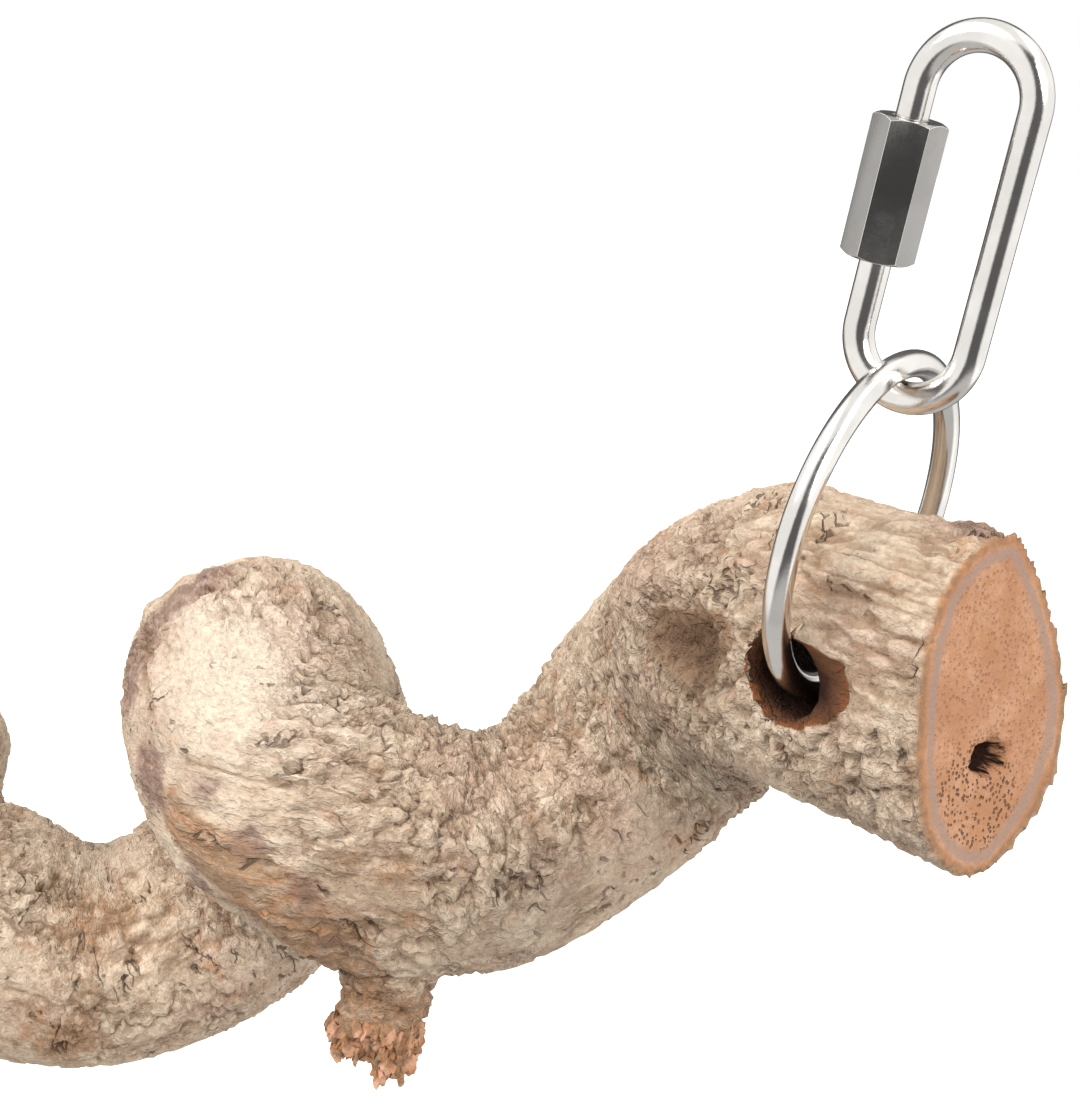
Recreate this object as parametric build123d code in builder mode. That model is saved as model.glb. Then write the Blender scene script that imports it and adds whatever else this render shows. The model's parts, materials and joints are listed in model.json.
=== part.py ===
from build123d import *
import os
from math import cos, radians, sin, sqrt

# A length of corkscrew vine that hangs by a ring and a quick link at each end. Lengths are millimetres and angles
# are degrees. X runs along the perch to its right end, Z is up, and the origin is the point inside the right-hand
# quick link where whatever carries the perch bears.

# Corkscrew stem
coil_pitch = 82.0
coil_radius = 16.0
bow_depth = 50.0
stem_size = 34.0
quarter_turns = 18
rings_per_quarter = 3
ridge_count = 5
ridge_share = 1.04
knobs_along = 17
knob_share = 0.035

# One value for each quarter turn, from the right end to the left: the coil's reach from the perch's axis, the
# axis's drop towards the sagging middle, its sideways wander, each station's shift to the left, and the stem's
# height and width. The stem has soft ridges along it, which swell into a row of knobs.
reach_shares = (0.46, 0.64, 0.95, 0.75, 0.86, 0.85, 1.09, 1.13, 0.96, 1.00,
                0.95, 1.05, 1.02, 0.94, 0.76, 0.94, 0.95, 0.64, 0.46)
drop_shares = (0.02, 0.11, 0.11, 0.31, 0.44, 0.53, 0.80, 0.87, 0.94, 1.03,
               1.00, 0.98, 0.92, 0.81, 0.64, 0.48, 0.31, 0.11, 0.02)
wander_shares = (0.19, -0.08, 0.05, 0.12, 0.00, 0.04, 0.14, 0.26, 0.05, 0.05,
                 0.00, -0.05, -0.05, 0.00, 0.00, 0.00, -0.05, 0.08, -0.19)
shift_shares = (-0.09, 0.08, 0.12, 0.10, 0.12, 0.12, 0.01, 0.03, 0.04, 0.07,
                0.04, 0.02, 0.00, -0.04, -0.06, -0.08, -0.11, -0.08, 0.09)
height_shares = (1.06, 1.04, 0.99, 0.85, 0.98, 0.98, 0.99, 0.96, 1.01, 1.03,
                 1.04, 1.02, 1.00, 1.02, 1.00, 0.94, 0.98, 1.02, 1.06)
width_shares = (0.64, 0.66, 0.81, 0.89, 1.01, 1.01, 1.00, 0.97, 0.95, 0.95,
                0.96, 0.97, 0.95, 0.94, 0.90, 0.93, 0.86, 0.66, 0.64)

# Saw cut at each end
saw_inset = 9.0
saw_turn = 14.5
saw_drop = 0.5

# Broken side twig under the second coil
twig_root_size = 16.0
twig_tip_size = 10.0
twig_length = 13.0
twig_place_share = 0.2
twig_slant = 20.0

# Welded ring in its drilled hole
ring_wire = 3.0
ring_side_gap = 3.6
hole_clearance = 0.35
hole_place_share = 0.058
hole_drop = 0.3
hole_wear = 4.0
hanger_lean = 13.5

# Quick link and its sleeve nut
link_wire = 3.5
link_length = 41.6
link_inner_width = 9.4
link_opening = 4.5
link_bearing_gap = 0.3
nut_flats = 7.0
nut_length = 15.0
nut_bore_gap = 0.3
nut_stop_gap = 3.4
nut_engagement = 2.2
nut_turn = 24.0
nut_chamfer = 0.6
nut_chamfer_angle = 30.0

half_length = coil_pitch * quarter_turns / 8
up = Vector(0, 0, 1)


def station(index):
    """Centre of the stem after so many quarter turns from the right end, measured from the perch's middle."""
    angle = radians(90 * index)
    reach = coil_radius * reach_shares[index]
    along = half_length - coil_pitch * (index / 4 + shift_shares[index])
    across = coil_radius * wander_shares[index] - reach * cos(angle)
    height = reach * sin(angle) - bow_depth * drop_shares[index]
    return Vector(along, across, height)


def between(shares, place):
    """Value of a table at any place, from 0 at the right end to 1 at the left end."""
    spot = place * quarter_turns
    index = min(int(spot), quarter_turns - 1)
    return shares[index] + (shares[index + 1] - shares[index]) * (spot - index)


with BuildLine() as middle_line:
    Spline(*[station(index) for index in range(quarter_turns + 1)])
middle_path = middle_line.edges()[0]

# Sizes of the hangers that follow from the stem and the wires, measured up the hanger from the hole's axis
hole_width = stem_size * between(width_shares, hole_place_share) / abs((middle_path % hole_place_share).X)
ring_radius = hole_width / 2 + ring_side_gap + ring_wire / 2
ring_fall = sqrt(ring_radius ** 2 - (hole_width / 2) ** 2)
ring_mouth = ring_wire / 2 * ring_radius / ring_fall
hole_size = ring_wire / 2 + ring_radius - ring_fall + ring_mouth + 2 * hole_clearance
ring_low = hole_clearance + ring_wire / 2 - hole_size / 2
ring_middle = ring_low + ring_radius
leg_offset = (link_inner_width + link_wire) / 2
bow_low = ring_middle + ring_radius - (ring_wire + link_wire) / 2 - link_bearing_gap
bow_high = bow_low + link_length - link_wire
leg_low = bow_low + leg_offset
leg_high = bow_high - leg_offset
bearing_height = bow_high - link_wire / 2
nut_low = leg_high - nut_stop_gap - nut_length
opening_high = leg_high - nut_stop_gap - nut_engagement
opening_low = opening_high - link_opening

lean = radians(hanger_lean)
right_up = Vector(sin(lean), 0, cos(lean))
left_up = Vector(-sin(lean), 0, cos(lean))
bearing_point = middle_path @ hole_place_share - up * hole_drop + right_up * bearing_height
stem_path = middle_path.translate(bearing_point * -1)
right_hole = stem_path @ hole_place_share - up * hole_drop
left_hole = stem_path @ (1 - hole_place_share) - up * hole_drop


def section_plane(place):
    """Plane square to the stem, with its first axis level."""
    heading = stem_path % place
    return Plane(origin=stem_path @ place, x_dir=heading.cross(up), z_dir=heading)


def around(place, turn, bulge):
    """Point on the stem's outline, so much of a full turn round it and bulging so much beyond the plain oval."""
    wide = stem_size * between(width_shares, place) / 2 * bulge
    high = stem_size * between(height_shares, place) / 2 * bulge
    return wide * cos(radians(360 * turn)), high * sin(radians(360 * turn))


def ridge_top(place, ridge):
    """Point on a ridge of the stem, where its row of knobs swells and sinks."""
    swell = knob_share * cos(radians(360 * (knobs_along * place + 2 * ridge / ridge_count)))
    return around(place, ridge / ridge_count, ridge_share + swell)


def saw_plane(place, side):
    """Plane of a saw cut that faces out of the stem's end, with side 1 on the right and -1 on the left."""
    level = cos(radians(saw_drop))
    outward = Vector(
        side * level * cos(radians(saw_turn)), -side * level * sin(radians(saw_turn)), -sin(radians(saw_drop))
    )
    return Plane(origin=stem_path @ place - outward * saw_inset, z_dir=outward)


def hanger_plane(hole, rise, outward):
    """Plane of a quick link: its origin on the hole's axis and its second axis up the hanger."""
    return Plane(origin=hole, x_dir=rise.cross(outward), z_dir=outward)


def worn_edge(depth, side):
    """Point along and out from the hole's axis where the ring has worn its mouth so much wider, on either side."""
    out = hole_size / 2 + depth
    along = sqrt((ring_radius - ring_wire / 2 - hole_clearance) ** 2 - (ring_middle - out) ** 2)
    return side * along, out


right_face = hanger_plane(right_hole, right_up, Vector(0, -1, 0))
left_face = hanger_plane(left_hole, left_up, Vector(0, 1, 0))
rings = quarter_turns * rings_per_quarter

with BuildPart() as vine:
    for step in range(rings + 1):
        place = step / rings
        with BuildSketch(section_plane(place)):
            with BuildLine():
                for ridge in range(ridge_count):
                    ThreePointArc(
                        ridge_top(place, ridge),
                        around(place, (ridge + 1 / 2) / ridge_count, 1),
                        ridge_top(place, (ridge + 1) % ridge_count),
                    )
            make_face()
    loft()
    twig_down = Vector(0, -sin(radians(twig_slant)), -cos(radians(twig_slant)))
    twig_plane = Plane(origin=stem_path @ twig_place_share, z_dir=twig_down)
    twig_reach = stem_size * between(height_shares, twig_place_share) / 2 + twig_length
    with BuildSketch(twig_plane):
        Circle(twig_root_size / 2)
    with BuildSketch(twig_plane.offset(twig_reach)):
        Circle(twig_tip_size / 2)
    loft()
    split(bisect_by=saw_plane(0, 1), keep=Keep.BOTTOM)
    split(bisect_by=saw_plane(1, -1), keep=Keep.BOTTOM)
    for face in (right_face, left_face):
        with BuildSketch(Plane(origin=face.origin, x_dir=face.z_dir, z_dir=face.x_dir)):
            with BuildLine():
                Line(worn_edge(0, -1), worn_edge(0, 1))
                ThreePointArc(worn_edge(0, 1), worn_edge(hole_wear / 2, 1), worn_edge(hole_wear, 1))
                Polyline(worn_edge(hole_wear, 1), (stem_size, hole_size / 2 + hole_wear), (stem_size, 0),
                         (-stem_size, 0), (-stem_size, hole_size / 2 + hole_wear), worn_edge(hole_wear, -1))
                ThreePointArc(worn_edge(hole_wear, -1), worn_edge(hole_wear / 2, -1), worn_edge(0, -1))
            make_face()
        revolve(axis=Axis(face.origin, face.z_dir), mode=Mode.SUBTRACT)
vine.part.label = "vine"
os.makedirs("parts", exist_ok=True)
export_step(vine.part, "parts/vine.step")

for side, face in (("right", right_face), ("left", left_face)):
    rise = face.y_dir

    with BuildPart() as ring:
        with BuildSketch(face):
            with Locations((0, ring_low)):
                Circle(ring_wire / 2)
        revolve(axis=Axis(face.from_local_coords((0, ring_middle, 0)), face.x_dir))
    ring.part.label = f"{side}_ring"
    export_step(ring.part, f"parts/{side}_ring.step")

    with BuildPart() as link:
        with BuildLine(face) as wire:
            Line((-leg_offset, opening_low), (-leg_offset, leg_low))
            ThreePointArc((-leg_offset, leg_low), (0, bow_low), (leg_offset, leg_low))
            Line((leg_offset, leg_low), (leg_offset, leg_high))
            ThreePointArc((leg_offset, leg_high), (0, bow_high), (-leg_offset, leg_high))
            Line((-leg_offset, leg_high), (-leg_offset, opening_high))
        with BuildSketch(Plane(origin=face.from_local_coords((-leg_offset, opening_low, 0)), z_dir=rise * -1)):
            Circle(link_wire / 2)
        sweep()
    link.part.label = f"{side}_link"
    export_step(link.part, f"parts/{side}_link.step")

    with BuildPart() as nut:
        seat = Plane(origin=face.from_local_coords((-leg_offset, nut_low, 0)), x_dir=face.x_dir, z_dir=rise)
        with BuildSketch(seat):
            RegularPolygon(nut_flats / 2, 6, major_radius=False, rotation=nut_turn)
            Circle(link_wire / 2 + nut_bore_gap, mode=Mode.SUBTRACT)
        extrude(amount=nut_length)
        corner = nut_flats / sqrt(3)
        slope = nut_chamfer * sin(radians(nut_chamfer_angle)) / cos(radians(nut_chamfer_angle))
        with BuildSketch(Plane(origin=seat.origin, x_dir=seat.x_dir, z_dir=seat.y_dir * -1)):
            Polygon(
                (0, 0),
                (corner - nut_chamfer, 0),
                (corner, slope),
                (corner, nut_length - slope),
                (corner - nut_chamfer, nut_length),
                (0, nut_length),
                align=None,
            )
        revolve(axis=Axis(seat.origin, rise), mode=Mode.INTERSECT)
    nut.part.label = f"{side}_nut"
    export_step(nut.part, f"parts/{side}_nut.step")
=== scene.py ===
import json
import math

import bmesh
import bpy
import numpy as np
from mathutils import Matrix, Vector, kdtree


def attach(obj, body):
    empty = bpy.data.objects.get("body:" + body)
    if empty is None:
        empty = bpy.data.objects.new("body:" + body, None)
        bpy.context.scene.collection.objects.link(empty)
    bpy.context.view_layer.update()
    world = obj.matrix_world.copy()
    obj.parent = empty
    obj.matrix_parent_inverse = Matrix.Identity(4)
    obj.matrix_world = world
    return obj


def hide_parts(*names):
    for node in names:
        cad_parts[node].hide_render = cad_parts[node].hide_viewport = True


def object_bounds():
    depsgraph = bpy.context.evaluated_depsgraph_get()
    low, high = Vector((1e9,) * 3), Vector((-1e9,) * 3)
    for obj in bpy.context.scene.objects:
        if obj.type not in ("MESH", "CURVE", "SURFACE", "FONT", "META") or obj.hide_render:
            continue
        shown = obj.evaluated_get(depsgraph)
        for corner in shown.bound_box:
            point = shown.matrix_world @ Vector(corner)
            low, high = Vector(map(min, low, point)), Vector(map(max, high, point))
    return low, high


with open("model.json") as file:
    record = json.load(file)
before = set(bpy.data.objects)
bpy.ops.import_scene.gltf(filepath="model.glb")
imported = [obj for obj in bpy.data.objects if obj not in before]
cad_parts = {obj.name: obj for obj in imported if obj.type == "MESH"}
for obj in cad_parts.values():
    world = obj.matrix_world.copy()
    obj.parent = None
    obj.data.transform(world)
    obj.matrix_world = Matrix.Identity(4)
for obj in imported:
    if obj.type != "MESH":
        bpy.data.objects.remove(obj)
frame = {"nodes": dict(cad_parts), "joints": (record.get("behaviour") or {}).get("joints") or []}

bl_info = {
    "name": "Corkscrew vine perch",
    "version": (1, 0, 0),
    "blender": (4, 5, 0),
    "location": "View3D > Sidebar > Perch",
    "description": "Dresses a hanging corkscrew-vine bird perch on its packed frame",
    "category": "Object",
}

CAD_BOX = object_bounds()
MM = 0.001
HANGERS = ("right", "left")

# The stem's centre line, as stations a quarter turn apart from the right end to the left end.
COIL_PITCH, COIL_RADIUS, BOW_DEPTH = 82.0, 16.0, 50.0
FIRST_STATION = 184.5
RIGHT_BEARING = np.array((176.2255, -3.4735, 69.3806))
REACH = (0.46, 0.64, 0.95, 0.75, 0.86, 0.85, 1.09, 1.13, 0.96, 1.00,
         0.95, 1.05, 1.02, 0.94, 0.76, 0.94, 0.95, 0.64, 0.46)
DROP = (0.02, 0.11, 0.11, 0.31, 0.44, 0.53, 0.80, 0.87, 0.94, 1.03,
        1.00, 0.98, 0.92, 0.81, 0.64, 0.48, 0.31, 0.11, 0.02)
WANDER = (0.19, -0.08, 0.05, 0.12, 0, 0.04, 0.14, 0.26, 0.05, 0.05,
          0, -0.05, -0.05, 0, 0, 0, -0.05, 0.08, -0.19)
SHIFT = (-0.09, 0.08, 0.12, 0.10, 0.12, 0.12, 0.01, 0.03, 0.04, 0.07,
         0.04, 0.02, 0, -0.04, -0.06, -0.08, -0.11, -0.08, 0.09)
SAW_INSET, SAW_TURN, SAW_DROP = 9.0, math.radians(14.5), math.radians(0.5)
LINE_STEPS = 80

# Bark follows the grain along this line. Its place is taken from every eighth point of the line and
# blended over a millimetre, so that it doesn't jump inside the bends.
GRAIN_STEP, GRAIN_BLEND, GRAIN_BATCH = 8, 1.0, 4000

# The broken twig: where it leaves the stem, its slant and width, and how far above its tip it starts
# to show its own bark and to be torn.
TWIG_SHARE, TWIG_SLANT = 0.2, math.radians(20)
TWIG_UP = (0, math.sin(TWIG_SLANT), math.cos(TWIG_SLANT))
TWIG_DOWN = tuple(-part for part in TWIG_UP)
TWIG_CORE, TWIG_EDGE = 12, (11, 13)
TWIG_START, TWIG_FULL = 14, 9
TORN_START, TORN_FULL = 8.0, 2.5

# Skin within these distances of a saw plane or a hole's axis, and facing along it or towards it, is cut.
# Below the least cut it counts as bark.
SAW_SKIN, SAW_FACING = (0.5, 0.9), (0.55, 0.9)
BORE_EDGE, BORE_FACING = (9.0, 10.0), (0.2, 0.6)
LEAST_CUT = 0.05
# Painted shade inside the drilled holes: the bore's wood is darkened by this tint.
BORE_PAINTED_SHADE = (0.5, 0.36, 0.3, 1)

# The sawn ends: where the stem's right half gives way to its left half, and the hollow pith and the
# porous heart beside the centre line, as a shift and one over the half width.
MID_STEM = (200.0, 210.0)
PITH_SHIFT, PITH_SHAPE = (0, 4.2, -3.6), (0, 0.28, 0.52)
HEART_SHIFT, HEART_SHAPE = (0, 6.5, -8.5), (0, 0.125, 0.125)

# Relief in metres: saw marks, the pith, gouges in the holes, and the twig's shreds, lumps and torn tip.
SAW_MARKS, PITH_DEPTH, GOUGES = 0.00025, 0.0028, 0.0006
SHREDS, TWIG_LUMPS, TORN_TIP = 0.0042, 0.005, 0.0050

# The stem's mesh is thinned to about this many triangles. Points sawn this much keep theirs, and faces
# torn this much grow fibres.
STEM_TRIANGLES, SAWN_KEPT, TORN_KEPT = 192000, 0.3, 0.25
FIBRE_DENSITY, FIBRE_SIZE, FIBRE_JAG = 0.9e6, 0.6 * MM, 0.0016
SAME_POINT = 1e-6

# Soft round spots on the bark, each with its middle, reach and strength, in millimetres.
# The groove left of the right-hand hole and shallow hollows, which the finish also darkens with painted
# shade. The groove's lips and the ridge that runs down into the twig are raised, so their strength is
# negative.
HOLLOWS = (((-36.5, 0.8, -66.4), 4.2, 2.8), ((-41.5, 4.2, -67), 3.8, 2.4), ((-31.5, -2.6, -65.6), 3.8, 2.1),
           ((-38, 2, -59.5), 3.5, -0.7), ((-32, -2, -58.8), 3.5, -0.6), ((-27, -5.2, -64.2), 3.5, 1.0),
           ((-34, -2, -71), 7.0, 0.9), ((-89, -26.8, -91), 4.0, -1.2), ((-82, -26.8, -95), 4.0, -1.4),
           ((-77, -24.9, -99.6), 4.0, -1.3), ((-73.3, -22.1, -104.2), 4.0, -1.4),
           ((-72.5, -17.5, -108.5), 4.0, -1.3), ((-67, -15.6, -110), 4.0, -1.0),
           ((-47, 7, -60), 6.0, -0.7), ((-86, -10, -79), 9.0, 0.6), ((-62, 2, -84), 8.0, 0.5))
# Bark drawn into fine folds along the grain.
WRINKLED = (((-6, -12, -54), 11, 1.0), ((-2, -12, -64), 8, 0.7), ((-22, -6, -52), 10, 0.8),
            ((-66, -20, -98), 9, 0.8), ((-125, -2, -122), 12, 0.8))
# Bark with deeper blisters and crumbs, or with shallower ones where negative.
COARSE = (((-54, 2, -82), 18, 0.8), ((-37, 3, -74), 14, 0.9), ((-8, -12, -75), 11, 0.7),
          ((-58, -14, -96), 10, 0.4), ((-86, -18, -74), 14, -0.1))
# Bark rubbed down to its rust-brown inner layer.
RUBBED = (((-91, -26, -90), 4.5, 0.6), ((-86, -26.8, -92.8), 4.5, 0.7), ((-81, -26.6, -95.9), 4.5, 0.75),
          ((-76.5, -25.3, -98), 4.5, 0.75), ((-72, -23.5, -102), 4.5, 0.7), ((-69, -20.5, -105.5), 4.5, 0.5),
          ((-73, -20, -106.5), 4.5, 0.7), ((-70.5, -16, -110.5), 4.5, 0.7), ((-67, -21.9, -92.7), 3.5, 0.45),
          ((-26.8, -5.6, -62.6), 3.5, 0.8), ((-33, -2, -61), 3.0, 0.5), ((-25.6, 1.3, -49.1), 3.5, 0.6),
          ((-58, 2.5, -80), 3.0, 0.5), ((-46, 6, -82), 3.0, 0.5), ((-129.8, -4.2, -120), 8, 0.55),
          ((-132.2, -8.9, -137.4), 9, 0.6), ((-117.3, 5.4, -117.4), 7, 0.4), ((-190, 12, -110), 12, 0.5),
          ((-250, -18, -118), 12, 0.6), ((-320, 14, -70), 10, 0.5))
# Purple-brown stains.
STAINED = (((-107, -17, -79.2), 5, 0.75), ((-110, -12.6, -75.3), 5, 0.8), ((-106.4, -8.8, -69.4), 5, 0.75),
           ((-105.9, -1.6, -66.3), 5, 0.7), ((-96.6, -24.4, -84.9), 5, 0.6), ((-97, -24.2, -89), 4, 0.6),
           ((-88.5, -24.9, -98.8), 3.5, 0.65), ((-85.3, -26.9, -86.7), 3, 0.6),
           ((-78.3, -26.8, -91), 3, 0.65), ((-71.4, -24.1, -97.4), 3, 0.65), ((-69.9, -21.4, -103), 3, 0.5),
           ((6.5, 0, -49.5), 4, 1.0), ((3, -3.5, -48.5), 4, 0.8), ((-137, -4, -128), 8, 0.4),
           ((-215, 10, -125), 10, 0.6), ((-285, -16, -100), 9, 0.7), ((-345, 20, -60), 8, 0.5))
# Painted light and shade: bark painted paler on the back of the coil and the saddle, where shade falls, and
# darker where negative, under the coil and in the groove.
PAINTED_LIGHT_AND_SHADE = (((-131, -6, -122), 14, 0.9), ((-117, 4, -125), 12, 0.9), ((-55, -2, -85), 11, 0.5),
            ((-125, -3, -132), 10, 0.4), ((-51, -8, -103), 10, -0.6), ((-31, -3, -69), 7, -0.8))
# Grey bark on the front of the coil.
ASHEN = (((-86, -18, -77), 13, 0.7), ((-98, -10, -70), 11, 0.45), ((-74, -15, -88), 9, 0.6))

# The quick link's threaded leg, measured up the hanger from the drilled hole.
LEG_OFFSET = 6.45
THREADED = ((43.8, 51.6), (56.4, 58.3))
THREAD_RADIUS = 1.74

# A sleeve nut's faces are flat within the first angle and meet at more than the second.
FLAT_ANGLE, EDGE_ANGLE = math.radians(2), math.radians(24)

# The stage, in metres: where the camera and the lamps point, and each lamp's place, size and power.
CAMERA_AIM = Vector((-54.22, -0.53, -57.88)) * MM
LAMP_AIM = Vector((-0.06, 0, -0.06))
LAMPS = {"key": (Vector((-0.55, -0.75, 0.85)), 0.9, 12.5),
         "fill": (Vector((0.95, -0.35, 0.35)), 0.8, 6.0)}
FLOOR_RADIUS, FLOOR_LIGHT = 14, (0.95, 0.95, 0.945, 1)
WHITE = (1, 1, 1, 1)


class Wire:
    """A socket of a node tree. Arithmetic on it adds Math nodes; node() adds any other node."""

    def __init__(self, tree, socket=None):
        self.tree, self.socket = tree, socket

    def node(self, kind, settings=None, sockets=None, out=0):
        made = self.tree.nodes.new(kind)
        for key, value in (settings or {}).items():
            setattr(made, key, value)
        for key, value in (sockets or {}).items():
            if isinstance(value, Wire):
                self.tree.links.new(value.socket, made.inputs[key])
            else:
                made.inputs[key].default_value = value
        return Wire(self.tree, made.outputs[out] if made.outputs else None)

    def sum(self, operation, *values):
        return self.node("ShaderNodeMath", {"operation": operation}, dict(enumerate(values)))

    def __add__(self, other):
        return self.sum("ADD", self, other)

    def __radd__(self, other):
        return self.sum("ADD", other, self)

    def __sub__(self, other):
        return self.sum("SUBTRACT", self, other)

    def __rsub__(self, other):
        return self.sum("SUBTRACT", other, self)

    def __mul__(self, other):
        return self.sum("MULTIPLY", self, other)

    def __rmul__(self, other):
        return self.sum("MULTIPLY", other, self)

    def __abs__(self):
        return self.sum("ABSOLUTE", self)

    def span(self, low, high, to_low=0.0, to_high=1.0):
        """This value eased from one span to another."""
        return self.node("ShaderNodeMapRange", {"interpolation_type": "SMOOTHSTEP"},
                         {"Value": self, "From Min": low, "From Max": high,
                          "To Min": to_low, "To Max": to_high})

    def stretch(self, x, y, z):
        """This vector scaled along its axes."""
        return self.node("ShaderNodeVectorMath", {"operation": "MULTIPLY"}, {0: self, 1: (x, y, z)})

    def shifted(self, other):
        """This vector moved by another."""
        return self.node("ShaderNodeVectorMath", {"operation": "ADD"}, {0: self, 1: other})

    def reach(self):
        """This vector's length."""
        return self.node("ShaderNodeVectorMath", {"operation": "LENGTH"}, {0: self}, "Value")

    def noise(self, size, detail=3.0, rough=0.5, colour=False):
        """Noise whose lumps are about size long, in this vector's units."""
        return self.node("ShaderNodeTexNoise", None,
                         {"Vector": self, "Scale": 1.0 / size, "Detail": detail, "Roughness": rough},
                         1 if colour else 0)

    def cells(self, size, uneven):
        """Distance from the middle of cells about size across, in this vector's units."""
        return self.node("ShaderNodeTexVoronoi", {"feature": "F1"},
                         {"Vector": self, "Scale": 1.0 / size, "Randomness": uneven}, "Distance")

    def paint(self, under, over):
        """One colour over another, by this value."""
        return self.node("ShaderNodeMix", {"data_type": "RGBA"}, {0: self, 6: under, 7: over}, 2)

    def tint(self, colour):
        """This colour multiplied by another."""
        return self.node("ShaderNodeMix", {"data_type": "RGBA", "blend_type": "MULTIPLY"},
                         {0: 1.0, 6: self, 7: colour}, 2)

    def grey(self):
        """A grey as light as this value."""
        return self.node("ShaderNodeCombineColor", None, {0: self, 1: self, 2: self})

    def bump(self, strength, distance):
        """A surface normal tilted by this value as a height."""
        return self.node("ShaderNodeBump", None,
                         {"Strength": strength, "Distance": distance, "Height": self})


def wear(name):
    """A new material with its shader and the Wire to write on."""
    made = bpy.data.materials.new(name)
    made.use_nodes = True
    made.node_tree.nodes.clear()
    pen = Wire(made.node_tree)
    shader = pen.node("ShaderNodeBsdfPrincipled").socket.node
    pen.node("ShaderNodeOutputMaterial", None, {"Surface": Wire(made.node_tree, shader.outputs[0])})
    return made, pen, shader


def join(shader, **wires):
    """Leads wires into a shader's named inputs."""
    for name, wire in wires.items():
        shader.id_data.links.new(wire.socket, shader.inputs[name.replace("_", " ")])


def place_in_mm(pen):
    """Each point's place on its object, in millimetres."""
    return pen.node("ShaderNodeTexCoord", None, None, "Object").stretch(1 / MM, 1 / MM, 1 / MM)


def colour(name, text, default):
    return bpy.props.FloatVectorProperty(name=name, description=text, subtype="COLOR", size=4,
                                         min=0, max=1, default=(*default, 1.0))


def length(name, text, default):
    return bpy.props.FloatProperty(name=name, description=text, default=default * MM, min=0,
                                   unit="LENGTH", precision=5)


class PerchVine(bpy.types.PropertyGroup):
    pale: colour("Pale bark", "Dry outer bark", (0.605, 0.485, 0.36))
    tan: colour("Tan bark", "Bark between the pale plates", (0.48, 0.365, 0.262))
    crack: colour("Crack", "Bottom of the bark's cracks", (0.085, 0.048, 0.028))
    brown: colour("Creased bark", "Creases between the grains of cork", (0.245, 0.147, 0.083))
    rust: colour("Rubbed bark", "Inner bark where the outer bark has rubbed off", (0.42, 0.205, 0.095))
    plum: colour("Stained bark", "Purple-brown stains on the high ridges", (0.215, 0.13, 0.104))
    ash: colour("Grey bark", "Ashen bark on the front of the coil", (0.67, 0.575, 0.465))
    blush: colour("Pink bark", "Pinkish patches of young bark", (0.52, 0.36, 0.27))
    wood: colour("Sawn wood", "Sawn end grain", (0.43, 0.21, 0.118))
    wood_light: colour("Pale wood", "Paler, porous end grain", (0.545, 0.30, 0.185))
    line: colour("Growth line", "Grey line between wood and bark on the sawn ends", (0.33, 0.235, 0.19))
    # Painted shade: near-black for the hollow pith on the sawn ends and deep in the drilled holes.
    pit_shade: colour("Pith", "Hollow pith and the inside of the drilled holes", (0.028, 0.011, 0.006))
    skin: length("Skin step", "Size of the bark's mesh cells", 0.58)
    lump: length("Lumps", "Height of the slow lumps", 0.6)
    blister: length("Blisters", "Depth of the creases between the blisters", 0.8)
    furrow: length("Furrows", "Depth of the furrows along the grain", 0.6)
    split: length("Cracks", "Depth of the cracks between the bark's plates", 0.65)
    grit: length("Grit", "Height of the grains of cork", 0.58)


class PerchSteel(bpy.types.PropertyGroup):
    steel: colour("Steel", "Nickel-plated steel", (0.82, 0.79, 0.75))
    pitch: length("Thread pitch", "Advance of the link's thread in one turn", 0.7)
    crest: length("Thread height", "Height of the link's thread above its wire", 0.16)
    round: length("Nut edge", "Rounding of the sleeve nut's edges", 0.22)


class PerchStage(bpy.types.PropertyGroup):
    floor: colour("Floor", "Plain pale floor", (0.92, 0.92, 0.915))
    drop: length("Drop", "How far the floor lies below the perch", 350)
    azimuth: bpy.props.FloatProperty(name="Azimuth", description="Camera's turn to the right of the front",
                                     default=math.radians(34), unit="ROTATION")
    elevation: bpy.props.FloatProperty(name="Elevation", description="Camera's height as an angle",
                                       default=math.radians(12), unit="ROTATION")
    distance: length("Distance", "Camera to the point it looks at", 258)
    lens: bpy.props.FloatProperty(name="Lens", description="Focal length in millimetres", default=69.86)


def stem_line():
    """Points along the stem's centre line in millimetres, and the frame at each."""
    turn = np.arange(len(REACH))
    reach, angle = COIL_RADIUS * np.array(REACH), np.radians(90.0) * turn
    stations = np.stack((FIRST_STATION - COIL_PITCH * (turn / 4 + np.array(SHIFT)),
                         COIL_RADIUS * np.array(WANDER) - reach * np.cos(angle),
                         reach * np.sin(angle) - BOW_DEPTH * np.array(DROP)), 1) - RIGHT_BEARING
    knots = np.vstack((2 * stations[0] - stations[1], stations, 2 * stations[-1] - stations[-2]))
    t = np.linspace(0, 1, LINE_STEPS, endpoint=False)[:, None]
    runs = [0.5 * (2 * b + (c - a) * t + (2 * a - 5 * b + 4 * c - d) * t ** 2
                   + (3 * b - a - 3 * c + d) * t ** 3)
            for a, b, c, d in zip(knots, knots[1:], knots[2:], knots[3:])]
    line = np.vstack((*runs, stations[-1:]))
    heading = np.gradient(line, axis=0)
    heading /= np.linalg.norm(heading, axis=1)[:, None]
    side = np.cross(heading, (0, 0, 1))
    side /= np.linalg.norm(side, axis=1)[:, None]
    rise = np.cross(heading, side)
    run = np.concatenate(((0,), np.cumsum(np.linalg.norm(np.diff(line, axis=0), axis=1))))
    return line, heading, side, rise, run


def saw_planes(line):
    """A point on each sawn face and the way it faces."""
    flat = math.cos(SAW_DROP)
    right = np.array((flat * math.cos(SAW_TURN), -flat * math.sin(SAW_TURN), -math.sin(SAW_DROP)))
    left = right * (-1, -1, 1)
    return ((line[0] - right * SAW_INSET, right), (line[-1] - left * SAW_INSET, left))


def ease(value, low, high):
    """From 0 at low to 1 at high, smoothly."""
    share = np.clip((value - low) / (high - low), 0, 1)
    return share * share * (3 - 2 * share)


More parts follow.
